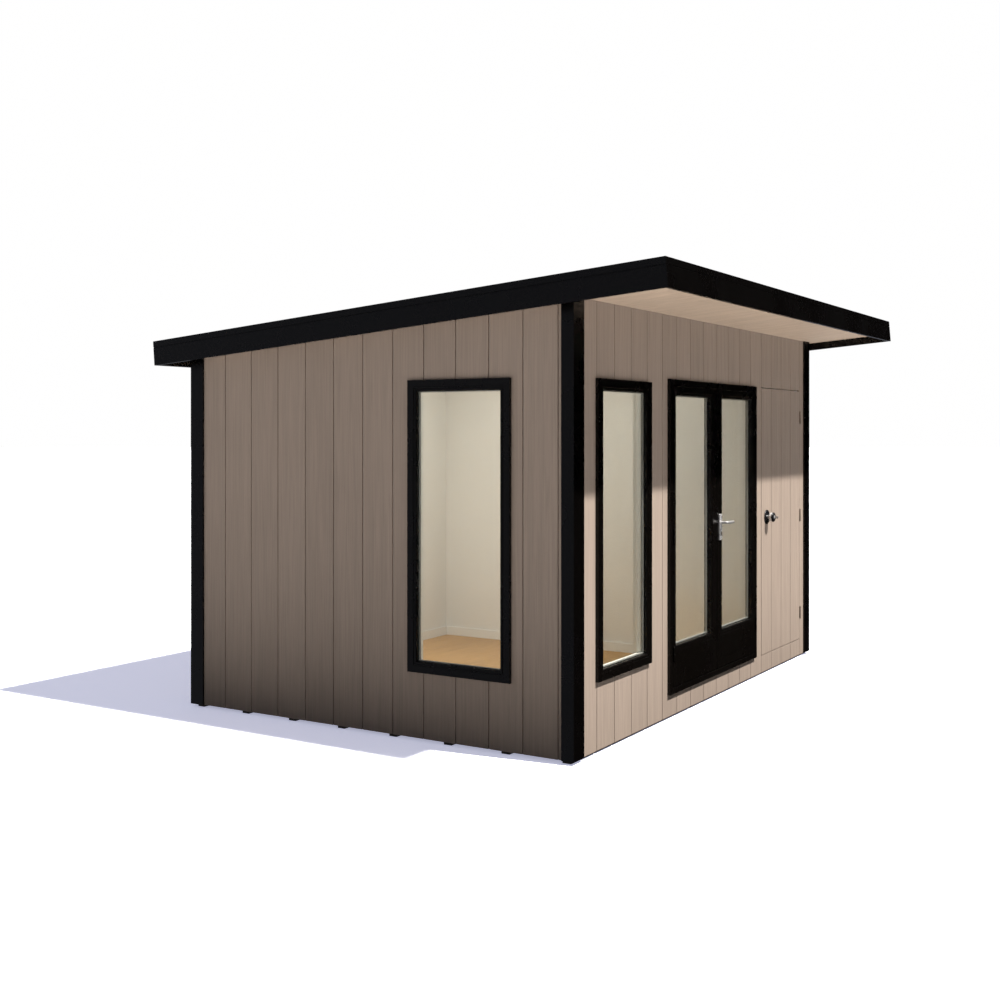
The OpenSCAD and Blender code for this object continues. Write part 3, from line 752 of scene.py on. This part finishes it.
def hinge_half(s, pivot, face, side, z, upper, r=KNUCKLE):
    """Half of a butt hinge; side is 1 where the leaf lies at +X of the pivot."""
    x, y = pivot[0], pivot[1]
    k0, k1 = (HINGE_H / 2 + 0.001, HINGE_H) if upper else (0, HINGE_H / 2 - 0.001)
    knuckle(s, x, y, z + k0, z + k1, r)
    # a small button closes the free end of the knuckle
    end, rise = (k1, 0.003) if upper else (k0, -0.003)
    lathe(s, (x, y, 0), [(z + end - 0.0001, r * 0.64), (z + end + rise, r * 0.43)], 20, "Z")
    if not upper:
        knuckle(s, x, y, z + HINGE_H / 2 - 0.001, z + HINGE_H - 0.002, PIN)
    out = side if upper else -side
    px = x + out * LEAF_GAP / 2
    x0, x1 = (px - PLATE, px) if out > 0 else (px, px + PLATE)
    slab(s, upright, x0, x1, z, z + HINGE_H, face, face + PLATE_D)
    slab(s, upright, x0, x1, z + k0, z + k1, y, face + 0.001)


def leaf(name, body, joint, side):
    """A glazed door leaf: mitred sash with its bead, kick panel, hinge halves and glazing."""
    lo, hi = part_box(name)
    glo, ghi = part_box(name + "_glass")
    edge = joint_pos(joint)[0] + side * LEAF_GAP / 2
    free = hi.x if side > 0 else lo.x
    rim = (min(edge, free), max(edge, free), lo.z, hi.z)
    inner = rect(name + "_glass")
    d1 = hi.y - front_face
    g0, g1 = glo.y - front_face, ghi.y - front_face
    e = LEAF_EASE
    s = Shape()
    outer = [("o", 0, d1 - e), ("o", 0, f0 + e), ("o", e, f0)]
    inside = [("i", -0.0005, g1), ("i", 0.0, d1 - 0.001), ("i", 0.001, d1), ("o", e, d1)]
    ring(s, on_front, rim, inner, outer + bead_section(f0, g0, g1, e) + inside)
    # the kick panel is a flush board in a fine shadow line
    slab(s, on_front, rim[0] + KICK_RIM, rim[1] - KICK_RIM, rim[2] + KICK_RIM, inner[2] - KICK_TOP,
         f0 - 0.0015, f0 + 0.002, 0.0012)
    for z in hinge_zs(rim[2], rim[3]):
        hinge_half(s, joint_pos(joint), front_face + f0, side, z, True)
    stand(s.obj(name + "_leaf", "frame"), body, name, slot="black_frame")
    glazing(name, on_front, inner, g0, g1, body, name + "_glass")
    return rim


left_rim = leaf("left_door", "left_leaf", "left_leaf_hinge", 1)
right_rim = leaf("right_door", "right_leaf", "right_leaf_hinge", -1)

# store leaf: backing board with its hinge halves
pivot = joint_pos("store_leaf_hinge")
s = Shape()
slab(s, on_front, store_leaf[0], pivot[0] - LEAF_GAP / 2, store_leaf[2], store_leaf[3],
     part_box("store_door")[1].y - front_face, CLAD_T, 0.002)
stand(s.obj("store_door_backing", "board"), "store_leaf", "store_door", slot="timber")
s = Shape()
for z in hinge_zs(store_leaf[2], store_leaf[3]):
    hinge_half(s, pivot, front_face, -1, z, True, STORE_KNUCKLE)
stand(s.obj("store_leaf_hinge_halves", "hinge_taupe", 35), "store_leaf", slot="cladding")

# fixed hinge halves: black on the double doors, painted like the boards on the store door
s = Shape()
for joint, side, rim in (("left_leaf_hinge", 1, left_rim), ("right_leaf_hinge", -1, right_rim)):
    for z in hinge_zs(rim[2], rim[3]):
        hinge_half(s, joint_pos(joint), front_face + f0, side, z, False)
stand(s.obj("door_hinge_halves", "frame", 35), "cabin", "fixed_hinges", slot="black_frame")
s = Shape()
for z in hinge_zs(store_leaf[2], store_leaf[3]):
    hinge_half(s, pivot, front_face, -1, z, False, STORE_KNUCKLE)
stand(s.obj("store_hinge_halves", "hinge_taupe", 35), "cabin", slot="cladding")

# ---------------------------------------------------------------- roof edge, soffit, floors
FASCIA_H, FASCIA_T = 0.148, 0.020
flo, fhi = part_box("front_fascia")
ROOF_TOP = fhi.z
ROOF_FRONT_Y = flo.y + FASCIA_H * math.sin(PITCH)
ROOF_LEN = (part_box("back_fascia")[1].y - ROOF_FRONT_Y) / math.cos(PITCH)
RX0, RX1 = flo.x, fhi.x


def down_slope(x, t, h):
    """Point in the roof's slope: t runs down it from the front edge, h is the depth below its top."""
    return (x, ROOF_FRONT_Y + t * math.cos(PITCH) - h * math.sin(PITCH),
            ROOF_TOP - t * math.sin(PITCH) - h * math.cos(PITCH))


def fascia(side, *corners):
    """A folded fascia between two corners (x, t) on the roof's outline, each with its way inwards."""
    s = Shape()
    e = 0.002
    section = [(0, e), (0, 0.0365), (0.0018, 0.038), (0.0018, 0.0395), (0, 0.041), (0, FASCIA_H - e),
               (e, FASCIA_H), (FASCIA_T - e, FASCIA_H), (FASCIA_T, FASCIA_H - e), (FASCIA_T, e),
               (FASCIA_T - e, 0), (e, 0)]
    a, b = ([down_slope(x + mx * d, t + mt * d, h) for d, h in section] for (x, t), (mx, mt) in corners)
    for k in range(len(a)):
        q = (k + 1) % len(a)
        s.face([a[k], a[q], b[q], b[k]])
    s.face(a)
    s.face(b)
    stand(s.obj(side + "_fascia_board", "trim"), "cabin", side + "_fascia", slot="black_trim")


# each end moves in along both edges of its corner, so the four meet in mitres
A, B, C, D = (RX0, 0), (RX1, 0), (RX1, ROOF_LEN), (RX0, ROOF_LEN)
fascia("front", (A, (1, 1)), (B, (-1, 1)))
fascia("right", (B, (-1, 1)), (C, (-1, -1)))
fascia("back", (C, (-1, -1)), (D, (1, -1)))
fascia("left", (D, (1, -1)), (A, (1, 1)))

# soffit boards run from front to back, round the walls
SOFFIT_T = 0.012
D_WALL = (ROOF_TOP - wall_top(front_face) - (front_face - ROOF_FRONT_Y) * SLOPE) * math.cos(PITCH)
inset = FASCIA_T + 0.0002


def on_soffit(u, v, d):
    return down_slope(u, v, D_WALL + SOFFIT_T - d)


def t_of(y, h):
    """How far down the slope a point at the depth h has the place y."""
    return (y - ROOF_FRONT_Y + h * math.sin(PITCH)) / math.cos(PITCH)


walls = (left_face, right_face, t_of(front_face, D_WALL), t_of(back_face, D_WALL + SOFFIT_T))
s = board_field(on_soffit, RX0 + inset, RX1 - inset, left_face, SOFFIT_BOARD, [walls],
                lambda u: inset, lambda u: ROOF_LEN - inset, SOFFIT_T, 0.002, 0.0018, 0.005)
stand(s.obj("soffit_board_field", "soffit"), "cabin", "soffit", slot="soffit_boards")

# oak floor boards, each row starting with another length
FIRST_LENGTHS, LENGTH, OFFCUT = (0.62, 1.25, 0.95), 1.30, 0.25
lo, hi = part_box("office_floor")
s = Shape()
row, y = 0, lo.y
while y < hi.y - 0.001:
    y2 = min(y + FLOOR_BOARD, hi.y)
    x, length = lo.x, FIRST_LENGTHS[row % len(FIRST_LENGTHS)]
    while x < hi.x - 0.001:
        x2 = hi.x if x + length > hi.x - OFFCUT else x + length
        slab(s, lambda u, v, d: (u, v, d), x, x2, y, y2, hi.z, lo.z, 0.0011)
        x, length = x2, LENGTH
    y, row = y2, row + 1
stand(s.obj("oak_floor_boards", "oak"), "cabin", "office_floor", slot="oak_floor")

# ---------------------------------------------------------------- handles and lock
HANDLE_T, HANDLE_R = 0.008, 0.006  # a handle plate's thickness and the radius of its corners
SLOT_W, SLOT_H = 0.0012, 0.0045  # half the width and half the height of a key slot
lo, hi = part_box("handle_plates")
px, pz = (lo.x + hi.x) / 2, (lo.z + hi.z) / 2
pw, ph = (hi.x - lo.x) / 2, (hi.z - lo.z) / 2
lev = joint_pos("lever_turn")
KEY_Z = pz - ph / 2
leaf_face, leaf_back = front_face + f0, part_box("right_door")[1].y


def rounded_plate(s, x, z, w, h, r, y, out, t):
    """A plate with round corners and an eased rim, standing t out of the plane y."""
    s.fresh()
    corners = ((x + w - r, z + h - r, 0), (x - w + r, z + h - r, 90), (x - w + r, z - h + r, 180),
               (x + w - r, z - h + r, 270))

    def loop(inset, d):
        pts = []
        for cx, cz, a0 in corners:
            for k in range(7):
                a = math.radians(a0 + 15 * k)
                pts.append((cx + (r - inset) * math.cos(a), y + out * d, cz + (r - inset) * math.sin(a)))
        return pts

    loops = [loop(0, 0), loop(0, t - 0.002), loop(0.0006, t - 0.0006), loop(0.002, t)]
    for a, b in zip(loops, loops[1:]):
        for k in range(len(a)):
            q = (k + 1) % len(a)
            s.face([a[k], a[q], b[q], b[k]])
    s.face(loops[0])
    s.face(loops[-1])


def boss(s, x, y, z, out, profile, steps):
    """A turned part whose profile is (distance out of the plane y, radius)."""
    lathe(s, (x, y, z), [(out * d, r) for d, r in profile], steps)


s = Shape()
for y, out in ((leaf_face, -1), (leaf_back, 1)):
    rounded_plate(s, px, pz, pw, ph, HANDLE_R, y, out, HANDLE_T)
    boss(s, px, y, lev[2], out, [
        (0.0078, 0.0165), (0.0100, 0.0165), (0.0108, 0.0155), (0.0108, 0.0085), (0.0078, 0.0085)], 36)
    boss(s, px, y, KEY_Z, out, [(0.0078, 0.0085), (0.0100, 0.0085), (0.0108, 0.0078)], 30)
    for z in (pz + ph - 0.012, pz - ph + 0.012):
        boss(s, px, y, z, out, [(0.0078, 0.0042), (0.0086, 0.0040), (0.0091, 0.0028)], 20)
stand(s.obj("door_handle_plates", "steel", 35), "right_leaf", "handle_plates", slot="satin_steel")
# the key slots are thin black slabs just proud of the bosses: painted shade in place of holes
s = Shape()
for y, out in ((leaf_face, -1), (leaf_back, 1)):
    slab(s, upright, px - SLOT_W, px + SLOT_W, KEY_Z - SLOT_H, KEY_Z + SLOT_H,
         y + out * 0.0111, y + out * 0.0100)
stand(s.obj("door_keyholes", "rubber"), "right_leaf", slot="black_lock")

# a lever on each face of the leaf: a neck, a quarter turn and a grip that thins to its end
llo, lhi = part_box("door_lever")
LEVER_LEN = lhi.x - lev[0]
NECK, ELBOW, GRIP_STEPS = 0.0078, 0.012, 14
s = Shape()
for y, out in ((llo.y + 0.009, -1), (lhi.y - 0.009, 1)):
    base = leaf_face if out < 0 else leaf_back
    neck = sorted([(y + out * 0.002, NECK), (base + out * 0.009, NECK)])
    lathe(s, (lev[0], 0, lev[2]), neck, 28)
    path, widths = [], []
    for k in range(9):
        a = math.radians(10 * k)
        path.append((lev[0] + ELBOW * (1 - math.cos(a)) - 0.004, y - out * ELBOW * (1 - math.sin(a)), lev[2]))
        widths.append((0.0072, 0.0085))
    for k in range(1, GRIP_STEPS + 1):
        f = k / GRIP_STEPS
        bow = 0.0015 * math.sin(math.pi * f)
        path.append((lev[0] + 0.010 + f * (LEVER_LEN - 0.014), y + out * bow, lev[2]))
        q = 1 - 0.12 * f
        if k == GRIP_STEPS:
            q *= 0.93
        widths.append((0.0062 * q, 0.0088 * q))
    path.append((lev[0] + LEVER_LEN - 0.0012, y, lev[2]))
    widths.append((0.0040, 0.0060))
    sweep(s, path, widths, 20)
stand(s.obj("lever_pair", "lever_steel", 40), "lever", "door_lever", slot="satin_steel")

# store lock: a black rose and a chrome turn on each face, with a black cap and a small key outside
kx, kz = joint_pos("knob_turn")[0], joint_pos("knob_turn")[2]
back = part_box("store_door")[1].y
CORE = 0.0100  # radius of the spindle
s = Shape()
boss(s, kx, front_face, kz, -1, [
    (0.0, 0.0105), (0.0100, 0.0105), (0.0100, 0.024), (0.0085, 0.034), (0.0075, 0.044), (0.0060, 0.0480),
    (0.0035, 0.0497), (0.0, 0.0500)], 56)
boss(s, kx, back, kz, 1, [
    (0.0, 0.0105), (0.0100, 0.0105), (0.0100, 0.0270), (0.0080, 0.0290), (0.0, 0.0300)], 44)
stand(s.obj("store_lock_roses", "lock", 35), "store_leaf", "store_lock_plates", slot="black_lock")
s = Shape()
boss(s, kx, front_face, kz, -1, [
    (0.0125, CORE), (0.0125, 0.0150), (0.0200, 0.0150), (0.0240, 0.0200), (0.0260, 0.0290), (0.0290, 0.0320),
    (0.0430, 0.0320), (0.0445, 0.0305)], 48)
boss(s, kx, front_face, kz, -1, [(0.0, CORE), (0.0130, CORE)], 24)
boss(s, kx, back, kz, 1, [
    (0.010, CORE), (0.0140, CORE), (0.0150, 0.0200), (0.0170, 0.0222), (0.0300, 0.0222),
    (0.0325, 0.0195)], 36)
stand(s.obj("store_knob_body", "steel", 35), "knob", "store_knob", slot="satin_steel")
s = Shape()
boss(s, kx, front_face, kz, -1, [
    (0.0445, 0.0318), (0.0460, 0.0330), (0.0505, 0.0330), (0.0540, 0.0310), (0.0565, 0.0270),
    (0.0570, 0.0140), (0.0560, 0.0130)], 48)
stand(s.obj("store_knob_cap", "lock", 35), "knob", slot="black_lock")


def on_key(u, v, d):
    """A place on the key, from the lock's centre: u into the door, v up, d through the key's thickness."""
    return (kx + d, front_face + u, kz + v)


# the key: a disc for the keyhole, a blade and an oval bow
KEY_T = 0.0010  # half the key's thickness
BOW_Y, BOW_R, BOW_H = -0.0755, 0.0092, 0.0105
s = Shape()
boss(s, kx, front_face, kz, -1, [(0.0550, 0.0128), (0.0575, 0.0128), (0.0580, 0.0120)], 32)
slab(s, on_key, -0.066, -0.0575, -0.0035, 0.0035, -KEY_T, KEY_T)
bow = []
for k in range(18):
    a = math.radians(20 * k)
    bow.append((BOW_Y + BOW_R * math.cos(a), BOW_H * math.sin(a)))
s.fresh()
for d in (-KEY_T, KEY_T):
    s.face([on_key(u, v, d) for u, v in bow])
for k in range(len(bow)):
    q = (k + 1) % len(bow)
    s.face([on_key(*bow[k], -KEY_T), on_key(*bow[q], -KEY_T), on_key(*bow[q], KEY_T), on_key(*bow[k], KEY_T)])
stand(s.obj("store_key", "steel", 35), "knob", slot="satin_steel")

# ---------------------------------------------------------------- carried-over CAD nodes
def carry(o, key, edge_r):
    """Gives a carried-over node its material, flat faces and eased edges."""
    o.data.materials.clear()
    o.data.materials.append(M[key])
    o.data.polygons.foreach_set("use_smooth", [False] * len(o.data.polygons))
    if edge_r:
        b = o.modifiers.new("eased_edges", "BEVEL")
        b.width, b.segments = edge_r, 2
        b.limit_method, b.angle_limit = "ANGLE", math.radians(30)
        b.harden_normals = False


for key, edge_r, names in (
        ("trim", 0.0025, ("front_left_trim", "front_right_trim", "back_left_trim", "back_right_trim")),
        ("treated", 0.002, ("floor_bearers",)),
        ("board", 0.001, ("floor_deck", "store_floor")),
        ("white", 0.005, ("skirting",)),
        ("lining", 0, ("left_wall", "back_wall", "right_wall", "partition_wall", "front_wall_left",
                       "front_wall_sill", "front_wall_head", "front_wall_middle", "front_wall_right")),
        ("timber", 0, ("roof_panel",)),
        ("roof", 0, ("roof_covering",)),
        ("white", 0, ("ceiling",))):
    for name in names:
        carry(NODES[name], key, edge_r)

# ---------------------------------------------------------------- camera, floor and light
cam_data = bpy.data.cameras.new("camera")
cam = bpy.data.objects.new("camera", cam_data)
SCENE.collection.objects.link(cam)
cam.location = (-7.4273, -4.0789, 1.6730)
cam.rotation_euler = (math.pi / 2, 0, -1.0215)
cam_data.sensor_width = 36
cam_data.lens = 45.03
cam_data.shift_y = -0.0675
cam_data.clip_start, cam_data.clip_end = 0.05, 400
SCENE.camera = cam


def stage(o, *seen_by):
    """Makes the object a studio piece that only some kinds of rays meet."""
    for kind in ("camera", "diffuse", "glossy", "transmission", "volume_scatter", "shadow"):
        setattr(o, "visible_" + kind, kind in seen_by)


def stage_mesh(name, material, faces, *seen_by):
    mesh = bpy.data.meshes.new(name)
    corners = [p for face in faces for p in face]
    mesh.from_pydata(corners, [], [tuple(range(k, k + 4)) for k in range(0, len(corners), 4)])
    mesh.materials.append(material)
    o = bpy.data.objects.new(name, mesh)
    SCENE.collection.objects.link(o)
    stage(o, *seen_by)


def level(x0, x1, y0, y1, z):
    return [(x0, y0, z), (x1, y0, z), (x1, y1, z), (x0, y1, z)]


def matt(name, color):
    return Mat(name, Base_Color=color, Specular_IOR_Level=0.0, Roughness=0.9)


# the pale floor that the camera sees
FAR = 150
pale = matt("studio_floor", (0.86, 0.86, 0.87, 1))
pale.bsdf.inputs["Emission Color"].default_value = (0.76, 0.78, 1.0, 1)
pale.bsdf.inputs["Emission Strength"].default_value = 0.50
stage_mesh("studio_floor", pale.m, [level(-FAR, FAR, -FAR, FAR, 0)], "camera", "transmission")

# darker floors just below it for the light that bounces up: grey all round, nearly black by the object
NEAR, LOW = 0.8, -0.004
x0, x1, y0, y1 = left_face - NEAR, right_face + NEAR, front_face - NEAR, back_face + NEAR
stage_mesh("bounce_floor", matt("bounce_floor", (0.54, 0.53, 0.525, 1)).m,
           [level(-FAR, FAR, -FAR, y0, LOW), level(-FAR, FAR, y1, FAR, LOW), level(-FAR, x0, y0, y1, LOW),
            level(x1, FAR, y0, y1, LOW)], "diffuse", "shadow")
flag = Mat("floor_flag", Base_Color=(0.02, 0.02, 0.02, 1), Roughness=0.9)
stage_mesh("floor_flag", flag.m, [level(x0, x1, y0, y1, LOW)], "diffuse", "shadow")

# a black card in front, standing and along the ground, that only mirrors see: glass and black paint stay deep
CARD_X0, CARD_X1, CARD_Y, CARD_Z, CARD_TOP = -30, 300, -14, -0.05, 60
standing = [(CARD_X0, CARD_Y, CARD_Z), (CARD_X1, CARD_Y, CARD_Z), (CARD_X1, CARD_Y, CARD_TOP),
            (CARD_X0, CARD_Y, CARD_TOP)]
stage_mesh("black_card", matt("black_card", (0, 0, 0, 1)).m,
           [standing, level(CARD_X0, CARD_X1, CARD_Y, front_face, CARD_Z)], "glossy")

# white surround that only the camera sees, also through glass
bpy.ops.mesh.primitive_uv_sphere_add(segments=48, ring_count=24, radius=FAR * 0.9)
dome = bpy.context.object
dome.name = "white_surround"
glow = Mat("white_surround")
white = glow.node("Emission")
white.inputs["Color"].default_value = (1.0, 0.998, 0.998, 1)
glow.surface(white.outputs[0])
dome.data.materials.append(glow.m)
stage(dome, "camera", "transmission")

world = bpy.data.worlds.new("studio")
world.use_nodes = True
SCENE.world = world
bg = world.node_tree.nodes["Background"]
bg.inputs["Color"].default_value = (0.94, 0.97, 1.12, 1)
bg.inputs["Strength"].default_value = 0.24

sun_data = bpy.data.lights.new("key_light", "SUN")
sun_data.energy = 11.2
sun_data.color = (1.0, 0.985, 0.965)
sun_data.angle = math.radians(1.6)
sun = bpy.data.objects.new("key_light", sun_data)
SCENE.collection.objects.link(sun)
sun.rotation_euler = Vector((-0.14, 1.0, -1.73)).to_track_quat("-Z", "Y").to_euler()

lo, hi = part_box("office_floor")


def office_light(name, kind, power, share, z):
    """A soft warm light in the office, not seen itself; share is its place from the front to the back."""
    data = bpy.data.lights.new(name, kind)
    data.energy, data.color = power, (1.0, 0.965, 0.91)
    o = bpy.data.objects.new(name, data)
    SCENE.collection.objects.link(o)
    o.location = ((lo.x + hi.x) / 2, lo.y + share * (hi.y - lo.y), z)
    o.visible_camera = o.visible_glossy = o.visible_transmission = False
    return data


panel = office_light("office_light", "AREA", 15.0, 0.5, 2.12)
panel.shape, panel.size, panel.size_y = "RECTANGLE", (hi.x - lo.x) * 0.8, (hi.y - lo.y) * 0.8
for name, power, share in (("office_fill_front", 8.0, 0.20), ("office_fill_back", 10.0, 0.80)):
    office_light(name, "POINT", power, share, 0.85).shadow_soft_size = 0.35

SCENE.view_settings.view_transform = "Standard"
SCENE.view_settings.look = "None"
